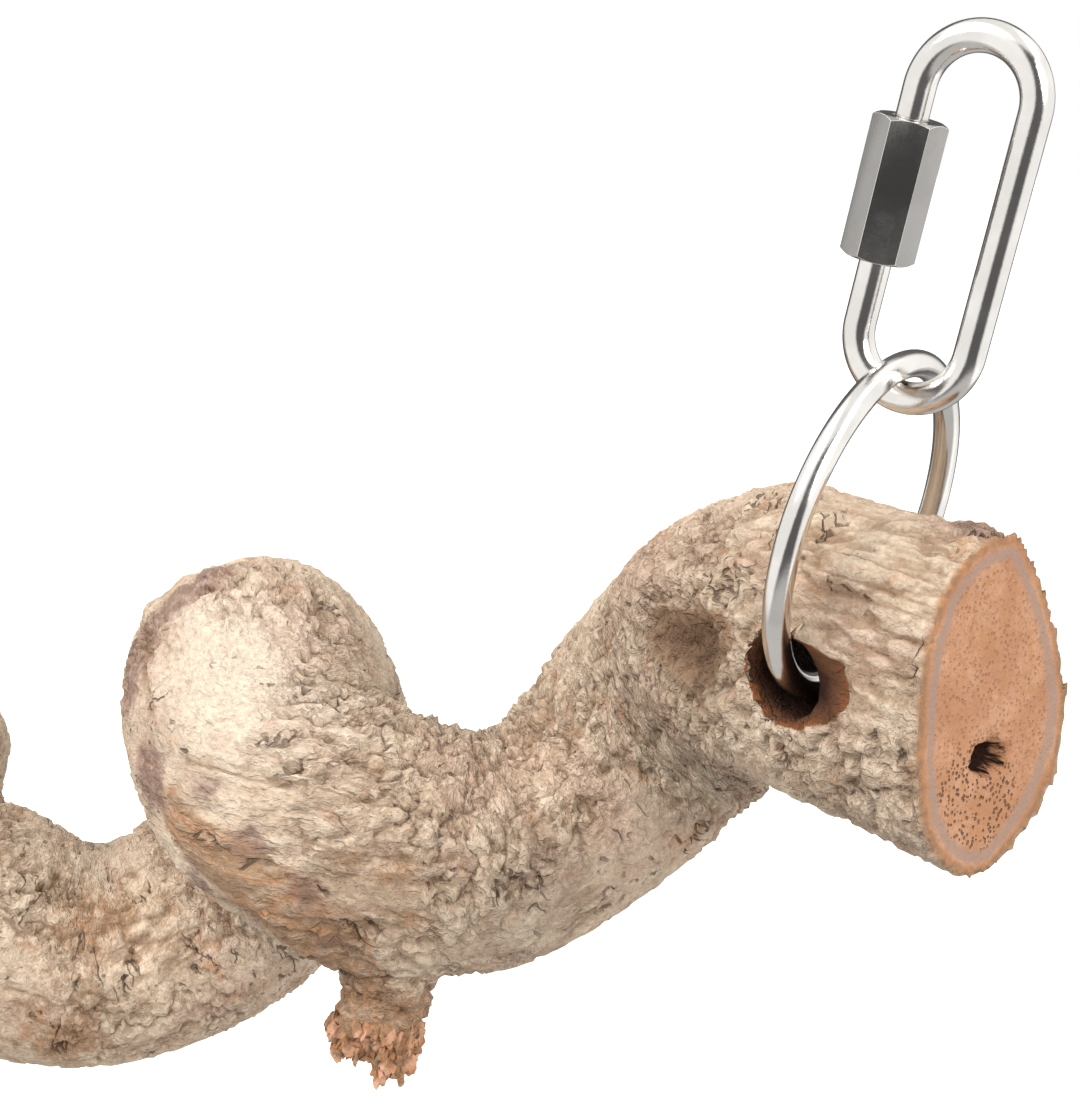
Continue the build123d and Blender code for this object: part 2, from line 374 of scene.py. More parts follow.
def spots(co, places):
    """How strongly each point lies in a list of soft round spots."""
    felt = np.zeros(len(co))
    for middle, reach, strength in places:
        felt += strength * np.exp(-((co - middle) ** 2).sum(1) / reach ** 2)
    return felt


def joint(name):
    return next(j for j in frame["joints"] if j["name"] == name)


def hole_place(hand):
    """The middle of a drilled hole, in millimetres."""
    return np.array(joint(f"{hand}_ring_swing")["pos_m"]) / MM


def joint_axis(name):
    return np.array(joint(name)["axis"], float)


def new_object(name, mesh):
    made = bpy.data.objects.new(name, mesh)
    bpy.context.scene.collection.objects.link(made)
    return made


def settle(obj):
    """The object's mesh with its modifiers worked in, and the modifiers gone."""
    seen = bpy.context.evaluated_depsgraph_get()
    mesh = bpy.data.meshes.new_from_object(obj.evaluated_get(seen))
    obj.modifiers.clear()
    obj.data = mesh
    return mesh


def merged_copy(node, name):
    """A copy of a CAD node's loose triangles, merged into a closed mesh."""
    work = bmesh.new()
    work.from_mesh(frame["nodes"][node].data)
    bmesh.ops.remove_doubles(work, verts=work.verts, dist=SAME_POINT)
    mesh = bpy.data.meshes.new(name)
    work.to_mesh(mesh)
    work.free()
    mesh.materials.clear()
    return mesh


def set_inputs(modifier, **values):
    """Sets a node modifier's named inputs by their identifiers."""
    for item in modifier.node_group.interface.items_tree:
        key = item.name.lower().replace(" ", "_")
        if item.item_type == "SOCKET" and item.in_out == "INPUT" and key in values:
            modifier[item.identifier] = values.pop(key)
    if values:
        raise RuntimeError(f"no input named {sorted(values)}")


def node_tree(name, inputs):
    """A new Geometry Nodes tree, the Wire to write on and the tree's inputs by name."""
    tree = bpy.data.node_groups.new(name, "GeometryNodeTree")
    tree.interface.new_socket("Geometry", in_out="INPUT", socket_type="NodeSocketGeometry")
    for label, kind in inputs:
        tree.interface.new_socket(label, in_out="INPUT", socket_type=kind)
    tree.interface.new_socket("Geometry", in_out="OUTPUT", socket_type="NodeSocketGeometry")
    pen = Wire(tree)
    source = pen.node("NodeGroupInput").socket.node
    wires = {socket.name: Wire(tree, socket) for socket in source.outputs if socket.name}
    return tree, pen, wires


def mark_stem(mesh):
    """Writes where each point of the vine lies on the stem: along and across the grain, and what was cut."""
    count = len(mesh.vertices)
    co, normal = np.empty(count * 3), np.empty(count * 3)
    mesh.vertices.foreach_get("co", co)
    mesh.vertex_normals.foreach_get("vector", normal)
    co, normal = co.reshape(-1, 3) / MM, normal.reshape(-1, 3)
    line, heading, side, rise, run = stem_line()
    path = slice(None, None, GRAIN_STEP)
    grain = np.empty((count, 3))
    for batch in np.array_split(np.arange(count), count // GRAIN_BATCH + 1):
        offset = co[batch, None] - line[path]
        far = np.linalg.norm(offset, axis=2)
        near = np.exp((far.min(1, keepdims=True) - far) / GRAIN_BLEND)
        near /= near.sum(1, keepdims=True)
        places = (run[path] + (offset * heading[path]).sum(2), (offset * side[path]).sum(2),
                  (offset * rise[path]).sum(2))
        grain[batch] = np.stack([(near * place).sum(1) for place in places], 1)

    sawn = np.zeros(count)
    for place, outward in saw_planes(line):
        flat = 1 - ease(np.abs((co - place) @ outward), *SAW_SKIN)
        sawn = np.maximum(sawn, flat * ease(normal @ outward, *SAW_FACING))
    bore = np.zeros(count)
    for hand in HANGERS:
        axis = joint_axis(f"{hand}_ring_swing")
        radial = co - hole_place(hand)
        radial -= (radial @ axis)[:, None] * axis
        far = np.linalg.norm(radial, axis=1)
        inward = -(radial * normal).sum(1) / np.maximum(far, SAME_POINT)
        bore = np.maximum(bore, ease(inward, *BORE_FACING) * (1 - ease(far, *BORE_EDGE)))
    root = line[int(TWIG_SHARE * (len(line) - 1))]
    down = np.array(TWIG_DOWN)
    drop = (co - root) @ down
    aside = np.linalg.norm(co - root - drop[:, None] * down, axis=1)
    tip, within = drop[aside < TWIG_CORE].max(), 1 - ease(aside, *TWIG_EDGE)
    broken = ease(drop, tip - TORN_START, tip - TORN_FULL) * within
    twig = ease(drop, tip - TWIG_START, tip - TWIG_FULL) * within

    cut = np.maximum(np.maximum(sawn, bore), broken)
    bark = np.flatnonzero(cut < LEAST_CUT)
    skin = kdtree.KDTree(len(bark))
    for i in bark:
        skin.insert(co[i], i)
    skin.balance()
    inset = np.zeros(count)
    for i in np.flatnonzero(cut >= LEAST_CUT):
        inset[i] = skin.find(co[i])[2]

    marks = {"grain": grain, "sawn": sawn, "bore": bore, "broken": broken, "twig": twig, "inset": inset,
             "hollow": spots(co, HOLLOWS), "coarse": spots(co, COARSE),
             "wrinkled": spots(co, WRINKLED), "rubbed": spots(co, RUBBED),
             "stained": spots(co, STAINED), "painted_light_and_shade": spots(co, PAINTED_LIGHT_AND_SHADE), "ashen": spots(co, ASHEN)}
    for name, values in marks.items():
        if values.ndim == 2:
            mesh.attributes.new(name, "FLOAT_VECTOR", "POINT").data.foreach_set("vector", values.ravel())
        else:
            mesh.attributes.new(name, "FLOAT", "POINT").data.foreach_set("value", values)


def bark_forms(grain, patch, wrinkled):
    """The bark's forms on the grain's coordinates. The same forms shape the skin and colour it."""
    bent = grain.shifted(grain.noise(5.0, 3.0, 0.6, colour=True).stretch(3.0, 3.0, 3.0))
    coarse = (grain.shifted((17, 3, 8)).noise(20.0, 2.0) + patch * 0.25).span(0.42, 0.60)
    drawn = wrinkled.span(0.25, 0.85)

    def crease(noise, sharp, wide):
        return 1.0 - abs(noise - 0.5).span(sharp, wide)

    return {
        "lumps": grain.stretch(0.75, 1, 1).noise(13.0, 2.0) - 0.5,
        "blisters": crease(bent.noise(4.6, 2.0), 0.0, 0.09) * (0.35 + 0.65 * coarse) * (1.0 - drawn * 0.6),
        "crumbs": (crease(bent.noise(1.9, 3.0, 0.6), 0.0, 0.11) * 0.6
                   + bent.noise(1.2, 3.0, 0.6).span(0.68, 0.32) * 0.4) * (0.7 + 0.45 * coarse)
        * (1.0 - drawn * 0.45),
        "cracks": crease(bent.stretch(1, 0.45, 0.45).noise(5.0, 3.0, 0.6), 0.002, 0.018)
        * grain.shifted((31, 7, 3)).noise(7.0, 2.0).span(0.56, 0.64),
        "furrows": crease(bent.stretch(0.28, 1, 1).noise(6.0, 3.0, 0.58), 0.004, 0.05)
        * (grain.shifted((5, 41, 17)).noise(15.0, 2.0) + wrinkled * 0.2).span(0.50, 0.62),
        "wrinkles": crease(grain.shifted(grain.noise(6.0, 2.0, 0.5, colour=True).stretch(2.0, 2.0, 2.0))
                           .stretch(0.13, 1, 1).noise(2.6, 2.0, 0.5), 0.01, 0.10) * drawn,
        "pits": bent.noise(1.5, 2.0, 0.6).span(0.62, 0.72)
        * grain.shifted((9, 2, 60)).noise(9.0, 2.0).span(0.48, 0.60),
    }


def end_forms(grain, inset):
    """The sawn ends' hollow pith with its ragged edge, and the porous wood under it."""
    along = grain.node("ShaderNodeSeparateXYZ", None, {0: grain}, "X")
    hand = grain.node("ShaderNodeCombineXYZ", None, {"Y": along.span(*MID_STEM, 1.0, -1.0), "Z": 1.0})
    face = grain.node("ShaderNodeVectorMath", {"operation": "MULTIPLY"}, {0: grain, 1: hand})
    edge = grain.noise(1.5, 4.0, 0.7, colour=True).stretch(0.0, 5.0, 4.0).shifted((0, -2.5, -2.0))
    pith = face.shifted(edge).shifted(PITH_SHIFT).stretch(*PITH_SHAPE)
    heart = face.shifted(HEART_SHIFT).stretch(*HEART_SHAPE)
    pores = 1.0 - face.cells(0.52, 0.8).span(0.20, 0.42)
    return {"pith": 1.0 - pith.reach().span(0.75, 1.0),
            "porous": pores * (1.0 - heart.reach().span(0.7, 1.0)) * inset.span(2.6, 3.6),
            "stipple": pores * inset.span(2.0, 3.5)}


def bark_relief():
    """The bark's forms, and the marks of saw, drill and tear, worked into the stem."""
    sizes = ("Lump", "Blister", "Furrow", "Split", "Grit")
    tree, pen, given = node_tree("Bark relief", [(size, "NodeSocketFloat") for size in sizes]
                                 + [("Bark", "NodeSocketMaterial")])

    def mark(name, kind="FLOAT"):
        return pen.node("GeometryNodeInputNamedAttribute", {"data_type": kind}, {"Name": name}, "Attribute")

    grain = mark("grain", "FLOAT_VECTOR")
    sawn, bore, broken, inset = mark("sawn"), mark("bore"), mark("broken"), mark("inset")
    bark, ends = bark_forms(grain, mark("coarse"), mark("wrinkled")), end_forms(grain, inset)
    height = (bark["lumps"] * 2.0 * given["Lump"] + given["Grit"] * (0.5 - bark["crumbs"])
              - bark["blisters"] * given["Blister"] - bark["furrows"] * given["Furrow"]
              - bark["wrinkles"] * given["Furrow"]
              - bark["cracks"] * given["Split"] - bark["pits"] * 0.6 * given["Split"] - mark("hollow") * MM)
    smooth = 1.0 - sawn.sum("MAXIMUM", sawn, bore * inset.span(0.6, 2.0))
    sawdust = (grain.stretch(0.2, 1, 1).noise(1.0, 2.0) - 0.5) * SAW_MARKS - ends["pith"] * PITH_DEPTH
    gouged = (grain.noise(1.8, 3.0, 0.65) - 0.5) * GOUGES * bore
    shred = ((grain.noise(1.7, 3.0, 0.65) - 0.62) * SHREDS * broken
             + (grain.noise(5.0, 2.0) - 0.5) * TWIG_LUMPS * mark("twig"))
    rise = height * smooth * (1.0 - broken) + sawdust * sawn + gouged + shred
    torn = grain.noise(3.6, 3.0, 0.6).span(0.30, 0.70) * TORN_TIP * broken
    lift = pen.node("ShaderNodeVectorMath", {"operation": "SCALE"}, {0: TWIG_UP, "Scale": torn})
    offset = pen.node("ShaderNodeVectorMath", {"operation": "SCALE"},
                      {0: pen.node("GeometryNodeInputNormal"), "Scale": rise}).shifted(lift)
    moved = pen.node("GeometryNodeSetPosition", None, {"Geometry": given["Geometry"], "Offset": offset})
    whole = pen.node("GeometryNodeRealizeInstances", None, {"Geometry": moved})
    worn = pen.node("GeometryNodeSetMaterial", None, {"Geometry": whole, "Material": given["Bark"]})
    pen.node("NodeGroupOutput", None, {"Geometry": worn})
    return tree


def vine_finish(look):
    """Bark, sawn end grain, drilled bores and torn fibres in one finish."""
    made, pen, shader = wear("vine_bark_and_wood")

    def mark(name, out="Fac"):
        return pen.node("ShaderNodeAttribute", {"attribute_type": "GEOMETRY", "attribute_name": name},
                        None, out)

    grain = mark("grain", "Vector")
    sawn, bore, broken = mark("sawn"), mark("bore"), mark("broken")
    twig, inset, hollow = mark("twig"), mark("inset"), mark("hollow")
    forms, ends = bark_forms(grain, mark("coarse"), mark("wrinkled")), end_forms(grain, inset)
    grit = grain.noise(0.55, 3.0, 0.7)
    fleck = grain.noise(1.2, 4.0, 0.7)
    fibre = grain.stretch(0.10, 1, 1).noise(0.9, 3.0, 0.6)
    ragged = grain.noise(3.0, 5.0, 0.68) - 0.5

    bark = (grain.noise(5.0, 5.0, 0.66).span(0.36, 0.62)).paint(look.tan, look.pale)
    bark = (grain.shifted((40, 0, 0)).noise(15.0, 5.0, 0.65).span(0.48, 0.64) * 0.6).paint(bark, look.blush)
    bark = (grain.shifted((0, 70, 0)).noise(4.0, 5.0, 0.7).span(0.55, 0.67) * 0.50).paint(bark, look.rust)
    bark = (grain.shifted((0, 0, 90)).noise(18.0, 6.0, 0.7).span(0.58, 0.70) * 0.45).paint(bark, look.plum)
    bark = ((mark("ashen") + ragged * 0.9).span(0.15, 0.85) * 0.65).paint(bark, look.ash)
    bark = ((mark("rubbed") * 1.15 + ragged * 1.5).span(0.30, 0.70) * 0.85).paint(
        bark, fibre.span(0.38, 0.66).paint(look.brown, fleck.span(0.44, 0.60).paint(look.rust, look.tan)))
    bark = ((mark("stained") * 1.25 + ragged * 1.4).span(0.28, 0.80)
            * fleck.span(0.34, 0.58, 0.45, 0.9)).paint(bark, look.plum)
    # Painted shade: the groove and hollows darken to creased brown and, where deepest, to the cracks'
    # near-black.
    bark = ((hollow + ragged * 0.8).span(0.3, 1.7) * 0.85).paint(bark, look.brown)
    bark = ((hollow + ragged * 1.2).span(1.7, 3.0) * 0.6).paint(bark, look.crack)
    bark = (twig * (0.5 + ragged).span(0.25, 0.55) * 0.8).paint(
        bark, fleck.span(0.40, 0.60).paint(look.brown, look.rust))
    bark = (forms["crumbs"].span(0.45, 0.95) * 0.38).paint(bark, look.brown)
    bark = (forms["blisters"].span(0.3, 1.0) * 0.32).paint(bark, look.brown)
    bark = (forms["blisters"].span(0.72, 1.0) * fleck.span(0.42, 0.58) * 0.60).paint(bark, look.crack)
    bark = (forms["furrows"] * 0.60).paint(bark, look.brown)
    bark = (forms["wrinkles"] * 0.60).paint(bark, look.brown)
    bark = (forms["cracks"] * 0.65).paint(bark, look.crack)
    bark = (forms["pits"] * 0.65).paint(bark, look.crack)
    bark = (fleck.span(0.60, 0.72) * 0.40).paint(bark, look.brown)
    # Painted light and shade over a random grain tone: the listed spots lighten the back of the coil and the
    # saddle, and darken the underside and the groove.
    shade = grit.span(0.25, 0.75, 0.80, 1.16) * (1.0 + mark("painted_light_and_shade") * 0.35)
    bark = bark.tint(shade.grey())

    across = grain.stretch(0.02, 1, 1)
    wood = across.noise(7.0, 4.0, 0.6).span(0.35, 0.65).paint(look.wood, look.wood_light)
    face_marks = grain.stretch(0.02, 1, 0.4).noise(1.1, 4.0, 0.7)
    wave = inset * 2.6 + across.noise(5.0, 3.0) * 4.0
    rings = wave.sum("SINE", wave)
    wood = (rings.span(0.2, 1.0) * 0.20).paint(wood, look.rust)
    wood = (across.noise(2.6, 4.0, 0.65).span(0.46, 0.66) * 0.35).paint(wood, look.rust)
    wood = (across.noise(0.7, 3.0, 0.7).span(0.48, 0.66) * 0.65).paint(wood, look.rust)
    wood = (ends["stipple"] * across.noise(4.0, 2.0).span(0.35, 0.65) * 0.30).paint(wood, look.crack)
    wood = (ends["porous"] * 0.55).paint(wood, look.crack)
    wood = (face_marks.span(0.48, 0.70) * 0.60).paint(wood, look.rust)
    edge = inset + across.noise(2.0, 3.0) * 0.8
    grey = edge.span(1.8, 2.3) * (1.0 - edge.span(2.8, 3.7))
    wood = (grey * 0.75).paint(wood, look.line)
    wood = ((1.0 - edge.span(1.2, 2.0)) * 0.8).paint(
        wood, fibre.span(0.38, 0.72).paint(look.brown, look.rust))
    # Painted shade: the hollow pith is filled with near-black.
    wood = ends["pith"].paint(wood, look.pit_shade)

    torn = grain.noise(1.8, 4.0, 0.65).span(0.38, 0.54).paint(look.brown, look.rust)
    torn = grain.shifted((3, 8, 5)).noise(2.4, 4.0, 0.65).span(0.56, 0.66).paint(torn, look.crack)
    # Painted shade in the drilled holes: the wood turns from rust to brown with depth, takes the darkening
    # tint, and goes near-black deeper in.
    deep = (inset + ragged * 1.2).span(0.3, 1.5)
    bored = deep.paint(look.rust, look.brown).tint(BORE_PAINTED_SHADE)
    bored = (inset + ragged * 1.2).span(1.0, 4.0).paint(bored, look.pit_shade)

    skin = broken.paint(bark, torn)
    skin = (bore + ragged * 0.5).span(0.35, 0.6).paint(skin, bored)
    skin = sawn.paint(skin, wood)
    rough = (grit * 0.35 + fleck * 0.45 - forms["crumbs"] * 0.45 - forms["blisters"] * 0.20
             - forms["cracks"] * 0.6 - forms["pits"] * 0.5)
    planed = grit * 0.30 + fleck * 0.35 - ends["porous"] * 0.5 - ends["stipple"] * 0.15
    bump = (rough * (1.0 - sawn) + planed * sawn).bump(1.0, 0.0008)
    join(shader, Base_Color=skin, Roughness=grit.span(0.2, 0.8, 0.82, 0.96), Normal=bump)
    shader.inputs["Specular IOR Level"].default_value = 0.15
    return made


def steel_finish(look, name, roughness, bright=1.0):
    """Bright nickel plate with faint draw marks and handling wear."""
    made, pen, shader = wear(name)
    place = place_in_mm(pen)
    cloud = place.noise(6.0, 3.0, 0.55)
    rub = place.noise(0.35, 3.0, 0.7)
    mottle = cloud.span(0.35, 0.7, 0.90 * bright, 1.04 * bright)
    tone = mottle.grey().tint(look.steel)
    gloss = cloud.span(0.3, 0.7, roughness * 0.7, roughness * 1.35) + rub.span(0.45, 0.8) * 0.06
    bump = (rub + cloud * 0.6).bump(0.10, 0.0001)
    join(shader, Base_Color=tone, Roughness=gloss, Normal=bump)
    shader.inputs["Metallic"].default_value = 1.0
    return made


def thread_tree():
    """A helical ridge round a leg of the link."""
    sizes = ("Radius", "Length", "Turns", "Crest")
    tree, pen, given = node_tree("Link thread", [(s, "NodeSocketFloat") for s in sizes]
                                 + [("Steel", "NodeSocketMaterial")])
    spiral = pen.node("GeometryNodeCurveSpiral", None,
                      {"Resolution": 28, "Rotations": given["Turns"], "Start Radius": given["Radius"],
                       "End Radius": given["Radius"], "Height": given["Length"]})
    ridge = pen.node("GeometryNodeCurvePrimitiveCircle", None, {"Resolution": 4, "Radius": given["Crest"]})
    solid = pen.node("GeometryNodeCurveToMesh", None,
                     {"Curve": spiral, "Profile Curve": ridge, "Fill Caps": True})
    whole = pen.node("GeometryNodeRealizeInstances", None, {"Geometry": solid})
    worn = pen.node("GeometryNodeSetMaterial", None, {"Geometry": whole, "Material": given["Steel"]})
    pen.node("NodeGroupOutput", None, {"Geometry": worn})
    return tree


def splinter_tree():
    """Torn crumbs and short splinters on the broken end of the twig."""
    tree, pen, given = node_tree("Twig fibres", [("Density", "NodeSocketFloat"), ("Size", "NodeSocketFloat"),
                                                 ("Fibre", "NodeSocketMaterial")])
    torn = pen.node("GeometryNodeInputNamedAttribute", {"data_type": "FLOAT"}, {"Name": "broken"},
                    "Attribute")
    roots = pen.node("GeometryNodeDistributePointsOnFaces", {"distribute_method": "RANDOM"},
                     {"Mesh": given["Geometry"], "Density": given["Density"] * torn.span(0.3, 0.95),
                      "Seed": 7})
    crumb = pen.node("GeometryNodeMeshIcoSphere", None, {"Radius": given["Size"], "Subdivisions": 2})
    down = pen.node("FunctionNodeAlignRotationToVector", {"axis": "Z"}, {"Vector": TWIG_DOWN})
    lean = pen.node("FunctionNodeRandomValue", {"data_type": "FLOAT_VECTOR"},
                    {0: (-0.5, -0.5, 0.0), 1: (0.5, 0.5, 6.28), "Seed": 3})
    grow = pen.node("FunctionNodeRandomValue", {"data_type": "FLOAT_VECTOR"},
                    {0: (0.5, 0.3, 0.7), 1: (1.5, 0.8, 2.4), "Seed": 5})
    turned = pen.node("FunctionNodeRotateRotation", {"rotation_space": "LOCAL"}, {0: down, 1: lean})
    fibres = pen.node("GeometryNodeInstanceOnPoints", None,
                      {"Points": roots, "Instance": crumb, "Rotation": turned, "Scale": grow})
    whole = pen.node("GeometryNodeRealizeInstances", None, {"Geometry": fibres})
    jag = (pen.node("GeometryNodeInputPosition").noise(0.8 * MM, 3.0, 0.65, colour=True)
           .shifted((-0.5, -0.5, -0.5)).stretch(FIBRE_JAG, FIBRE_JAG, FIBRE_JAG))
    rough = pen.node("GeometryNodeSetPosition", None, {"Geometry": whole, "Offset": jag})
    worn = pen.node("GeometryNodeSetMaterial", None, {"Geometry": rough, "Material": given["Fibre"]})
    pen.node("NodeGroupOutput", None, {"Geometry": worn})
    return tree


def fibre_finish(look):
    """Dry torn wood, rust-brown with paler strands."""
    made, pen, shader = wear("twig_fibre")
    place = place_in_mm(pen)
    tone = place.noise(1.3, 4.0, 0.65).span(0.38, 0.62).paint(look.brown, look.rust)
    tone = place.shifted((4, 2, 9)).noise(2.5, 3.0).span(0.46, 0.60).paint(tone, look.wood_light)
    join(shader, Base_Color=tone, Normal=place.noise(0.3).bump(0.4, 0.0002))
    shader.inputs["Roughness"].default_value = 0.9
    return made


def keep_in_box(mesh):
    """No point stands outside the CAD model's box."""
    co = np.empty(len(mesh.vertices) * 3)
    mesh.vertices.foreach_get("co", co)
    co = np.clip(co.reshape(-1, 3), np.array(CAD_BOX[0]), np.array(CAD_BOX[1]))
    mesh.vertices.foreach_set("co", co.ravel())
    mesh.update()


class PERCH_OT_vine(bpy.types.Operator):
    """Grows bark on the stem, with its sawn ends, drilled holes and broken twig"""
    bl_idname = "perch.vine"
    bl_label = "Vine"

    def execute(self, context):
        look = context.scene.perch_vine
        vine = new_object("vine_stem", merged_copy("vine", "vine_stem"))
        remesh = vine.modifiers.new("fine skin", "REMESH")
        remesh.mode, remesh.voxel_size = "VOXEL", look.skin
        mark_stem(settle(vine))
        relief = vine.modifiers.new("bark relief", "NODES")
        relief.node_group = bark_relief()
        set_inputs(relief, lump=look.lump, blister=look.blister, furrow=look.furrow, split=look.split,
                   grit=look.grit, bark=vine_finish(look))
        mesh = settle(vine)
        sawn = np.empty(len(mesh.vertices))
        mesh.attributes["sawn"].data.foreach_get("value", sawn)
        vine.vertex_groups.new(name="kept").add(np.flatnonzero(sawn > SAWN_KEPT).tolist(), 1.0, "REPLACE")
        thin = vine.modifiers.new("thin", "DECIMATE")
        thin.ratio = min(1.0, STEM_TRIANGLES / (2 * len(mesh.polygons)))
        thin.vertex_group, thin.invert_vertex_group = "kept", True
        mesh = settle(vine)
        keep_in_box(mesh)
        mesh.shade_smooth()
        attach(vine, "vine")
        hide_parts("vine")
        return {"FINISHED"}


class PERCH_OT_fibres(bpy.types.Operator):
    """Stands torn fibres on the twig's broken end"""
    bl_idname = "perch.fibres"
    bl_label = "Twig fibres"

    def execute(self, context):
        look = context.scene.perch_vine
        work = bmesh.new()
        work.from_mesh(bpy.data.objects["vine_stem"].data)
        torn = work.verts.layers.float["broken"]
        spare = [f for f in work.faces if min(v[torn] for v in f.verts) < TORN_KEPT]
        bmesh.ops.delete(work, geom=spare, context="FACES")
        base = bpy.data.meshes.new("twig_fibres")
        work.to_mesh(base)
        work.free()
        fibres = new_object("twig_fibres", base)
        grow = fibres.modifiers.new("fibres", "NODES")
        grow.node_group = splinter_tree()
        set_inputs(grow, density=FIBRE_DENSITY, size=FIBRE_SIZE, fibre=fibre_finish(look))
        keep_in_box(settle(fibres))
        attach(fibres, "vine")
        return {"FINISHED"}


class PERCH_OT_rings(bpy.types.Operator):
    """Plates the two welded rings"""
    bl_idname = "perch.rings"
    bl_label = "Rings"

    def execute(self, context):
        plate = steel_finish(context.scene.perch_steel, "ring_plate", roughness=0.13)
        for hand in HANGERS:
            ring = frame["nodes"][f"{hand}_ring"]
            ring.data.materials.clear()
            ring.data.materials.append(plate)
        return {"FINISHED"}


class PERCH_OT_links(bpy.types.Operator):
    """Plates the two quick links and cuts the thread on their legs"""
    bl_idname = "perch.links"
    bl_label = "Quick links"

    def execute(self, context):
        look = context.scene.perch_steel
        plate = steel_finish(look, "link_plate", roughness=0.12)
        cut = thread_tree()
        for hand in HANGERS:
            link = frame["nodes"][f"{hand}_link"]
            link.data.materials.clear()
            link.data.materials.append(plate)
            hole, rise = hole_place(hand), -joint_axis(f"{hand}_nut_travel")
            across = joint_axis(f"{hand}_link_swing")
            for place, (low, high) in zip(("lower", "upper"), THREADED):
                name = f"{hand}_thread_{place}"
                thread = new_object(name, bpy.data.meshes.new(name))
                helix = thread.modifiers.new("thread", "NODES")
                helix.node_group = cut
                tall = (high - low) * MM
                set_inputs(helix, radius=THREAD_RADIUS * MM, length=tall, turns=tall / look.pitch,
                           crest=look.crest, steel=plate)
                mesh = settle(thread)
                turn = Vector((0, 0, 1)).rotation_difference(Vector(rise)).to_matrix().to_4x4()
                foot = hole + rise * low - across * LEG_OFFSET
                mesh.transform(Matrix.Translation(Vector(foot) * MM) @ turn)
                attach(thread, f"{hand}_link")
        return {"FINISHED"}


class PERCH_OT_nuts(bpy.types.Operator):
    """Rounds the edges of the two sleeve nuts and plates them"""
    bl_idname = "perch.nuts"
    bl_label = "Sleeve nuts"

    def execute(self, context):
        look = context.scene.perch_steel
        plate = steel_finish(look, "nut_plate", roughness=0.20, bright=0.46)
        # Painted highlight and wear: the rounded edges get a plate far lighter than the faces', so they show
        # as bright lines.
        worn = steel_finish(look, "nut_worn_edge", roughness=0.30, bright=1.1)
        for hand in HANGERS:
            name = f"{hand}_nut"
            mesh = merged_copy(name, f"{hand}_sleeve_nut")
            work = bmesh.new()
            work.from_mesh(mesh)
            bmesh.ops.dissolve_limit(work, angle_limit=FLAT_ANGLE, verts=work.verts, edges=work.edges)
            work.to_mesh(mesh)
            work.free()
            mesh.materials.append(plate)
            mesh.materials.append(worn)
            nut = new_object(f"{hand}_sleeve_nut", mesh)
            edge = nut.modifiers.new("edge", "BEVEL")
            edge.width, edge.segments, edge.limit_method = look.round, 3, "ANGLE"
            edge.angle_limit, edge.harden_normals, edge.material = EDGE_ANGLE, True, 1
            mesh.shade_smooth()
            settle(nut)
            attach(nut, f"{hand}_nut")
            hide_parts(name)
        return {"FINISHED"}


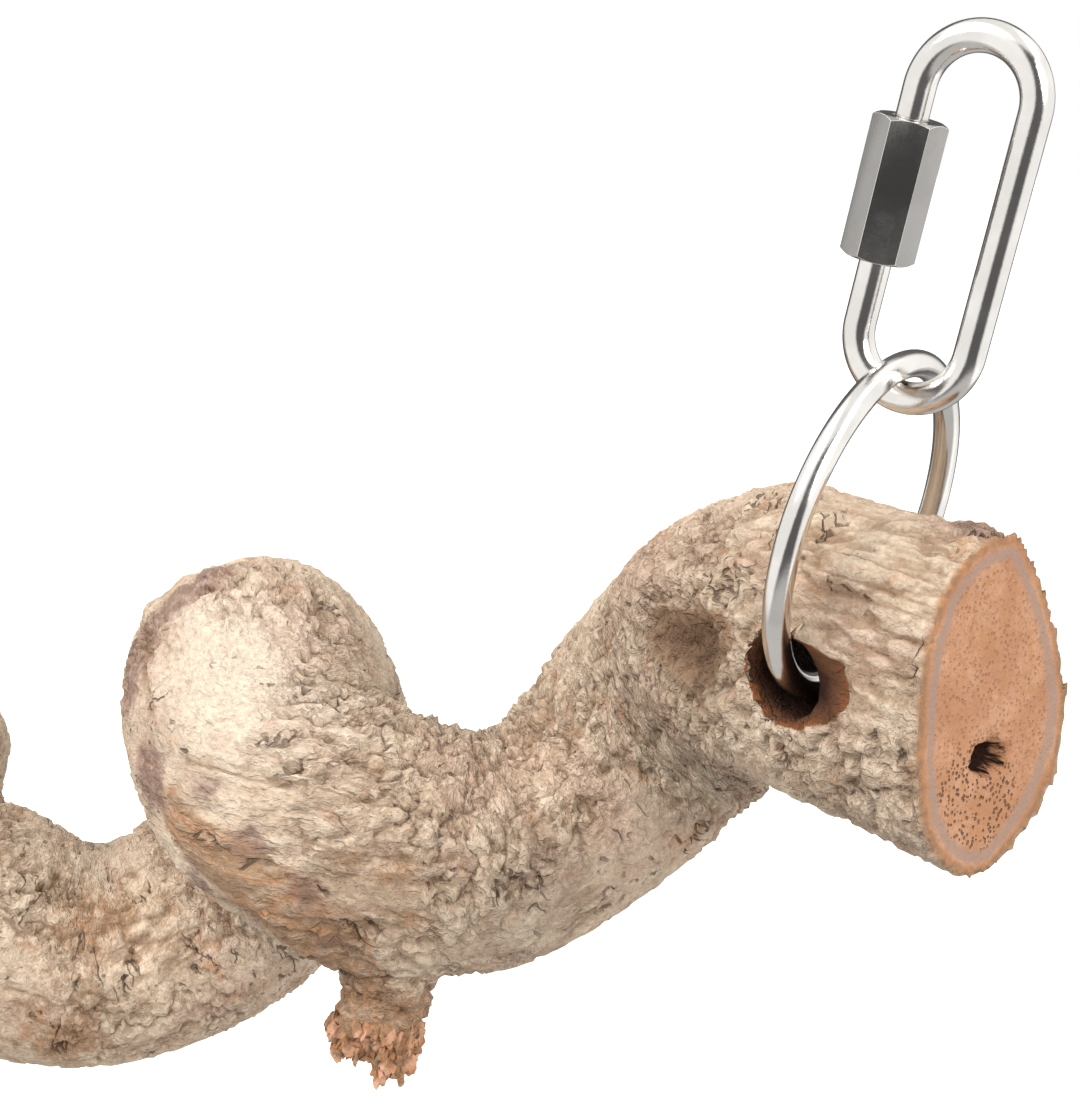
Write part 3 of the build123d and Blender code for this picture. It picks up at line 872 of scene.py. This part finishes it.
class PERCH_OT_stage(bpy.types.Operator):
    """Lays the pale floor and sets the soft light and the camera"""
    bl_idname = "perch.stage"
    bl_label = "Stage"

    def execute(self, context):
        look = context.scene.perch_stage
        scene = context.scene
        scene.view_settings.view_transform = "Standard"
        work = bmesh.new()
        bmesh.ops.create_circle(work, cap_ends=True, segments=96, radius=FLOOR_RADIUS)
        mesh = bpy.data.meshes.new("floor")
        work.to_mesh(mesh)
        work.free()
        mesh.transform(Matrix.Translation((0, 0, CAD_BOX[0].z - look.drop)))
        floor = new_object("floor", mesh)
        matt, pen, shader = wear("floor_paper")
        place = pen.node("ShaderNodeTexCoord", None, None, "Object")
        join(shader, Base_Color=place.noise(0.4, 3.0).span(0.3, 0.7).paint(look.floor, FLOOR_LIGHT))
        shader.inputs["Roughness"].default_value = 0.95
        shader.inputs["Emission Color"].default_value = WHITE
        shader.inputs["Emission Strength"].default_value = 0.25
        mesh.materials.append(matt)
        floor.visible_glossy = floor.visible_diffuse = False

        back = Vector((math.sin(look.azimuth) * math.cos(look.elevation),
                       -math.cos(look.azimuth) * math.cos(look.elevation), math.sin(look.elevation)))
        data = bpy.data.cameras.new("camera")
        data.lens, data.sensor_width, data.clip_start = look.lens, 36.0, 0.01
        camera = bpy.data.objects.new("camera", data)
        scene.collection.objects.link(camera)
        camera.location = CAMERA_AIM + back * look.distance
        camera.rotation_euler = back.to_track_quat("Z", "Y").to_euler()
        scene.camera = camera

        for name, lamp in LAMPS.items():
            self.lamp(scene, name, *lamp)
        self.room(scene)
        return {"FINISHED"}

    def lamp(self, scene, name, place, size, power):
        """A soft round lamp turned to the right-hand coil."""
        data = bpy.data.lights.new(name, "AREA")
        data.shape, data.size, data.energy = "DISK", size, power
        lamp = bpy.data.objects.new(name, data)
        scene.collection.objects.link(lamp)
        lamp.location = place
        lamp.rotation_euler = (place - LAMP_AIM).to_track_quat("Z", "Y").to_euler()

    def room(self, scene):
        """A white room for the wood, and the softboxes that polished metal mirrors in a dark one."""
        world = bpy.data.worlds.new("studio")
        world.use_nodes = True
        world.node_tree.nodes.clear()
        pen = Wire(world.node_tree)
        way = pen.node("ShaderNodeTexCoord", None, None, "Generated")

        def facing(azimuth, elevation):
            a, e = math.radians(azimuth), math.radians(elevation)
            side = (math.sin(a) * math.cos(e), -math.cos(a) * math.cos(e), math.sin(e))
            return pen.node("ShaderNodeVectorMath", {"operation": "DOT_PRODUCT"}, {0: way, 1: side}, "Value")

        high = pen.node("ShaderNodeSeparateXYZ", None, {0: way}, "Z")
        softboxes = facing(-47, 18).span(0.42, 0.66) * 0.95 + facing(118, 12).span(0.44, 0.66)
        ceiling, ground = high.span(0.62, 0.80) * 0.9, (0.0 - high).span(0.45, 0.7) * 0.45
        mirrored = 0.13 + softboxes + ceiling + ground
        white = high.span(-0.6, 0.7, 0.86, 1.24)
        glossy = pen.node("ShaderNodeLightPath", None, None, "Is Glossy Ray")
        level = glossy * mirrored + (1.0 - glossy) * white
        seen = pen.node("ShaderNodeLightPath", None, None, "Is Camera Ray")
        light = pen.node("ShaderNodeBackground", None,
                         {"Color": seen.paint(level.grey(), WHITE), "Strength": 1.0})
        pen.node("ShaderNodeOutputWorld", None, {"Surface": light})
        scene.world = world


class PERCH_PT_panel(bpy.types.Panel):
    """Sizes, colours and steps of the perch"""
    bl_idname = "PERCH_PT_panel"
    bl_label = "Corkscrew vine perch"
    bl_space_type = "VIEW_3D"
    bl_region_type = "UI"
    bl_category = "Perch"

    def draw(self, context):
        for step in STEPS:
            self.layout.operator(step.bl_idname)
        for group, kept in GROUPS.items():
            for name in kept.__annotations__:
                self.layout.prop(getattr(context.scene, group), name)


STEPS = (PERCH_OT_vine, PERCH_OT_fibres, PERCH_OT_rings, PERCH_OT_links, PERCH_OT_nuts, PERCH_OT_stage)
GROUPS = {"perch_vine": PerchVine, "perch_steel": PerchSteel, "perch_stage": PerchStage}


def register():
    for kept in (*GROUPS.values(), *STEPS, PERCH_PT_panel):
        bpy.utils.register_class(kept)
    for name, kept in GROUPS.items():
        setattr(bpy.types.Scene, name, bpy.props.PointerProperty(type=kept))


def unregister():
    for name in GROUPS:
        delattr(bpy.types.Scene, name)
    for kept in reversed((*GROUPS.values(), *STEPS, PERCH_PT_panel)):
        bpy.utils.unregister_class(kept)


def main():
    register()
    bpy.ops.perch.vine()
    bpy.ops.perch.fibres()
    bpy.ops.perch.rings()
    bpy.ops.perch.links()
    bpy.ops.perch.nuts()
    bpy.ops.perch.stage()


if __name__ == "__main__":
    main()
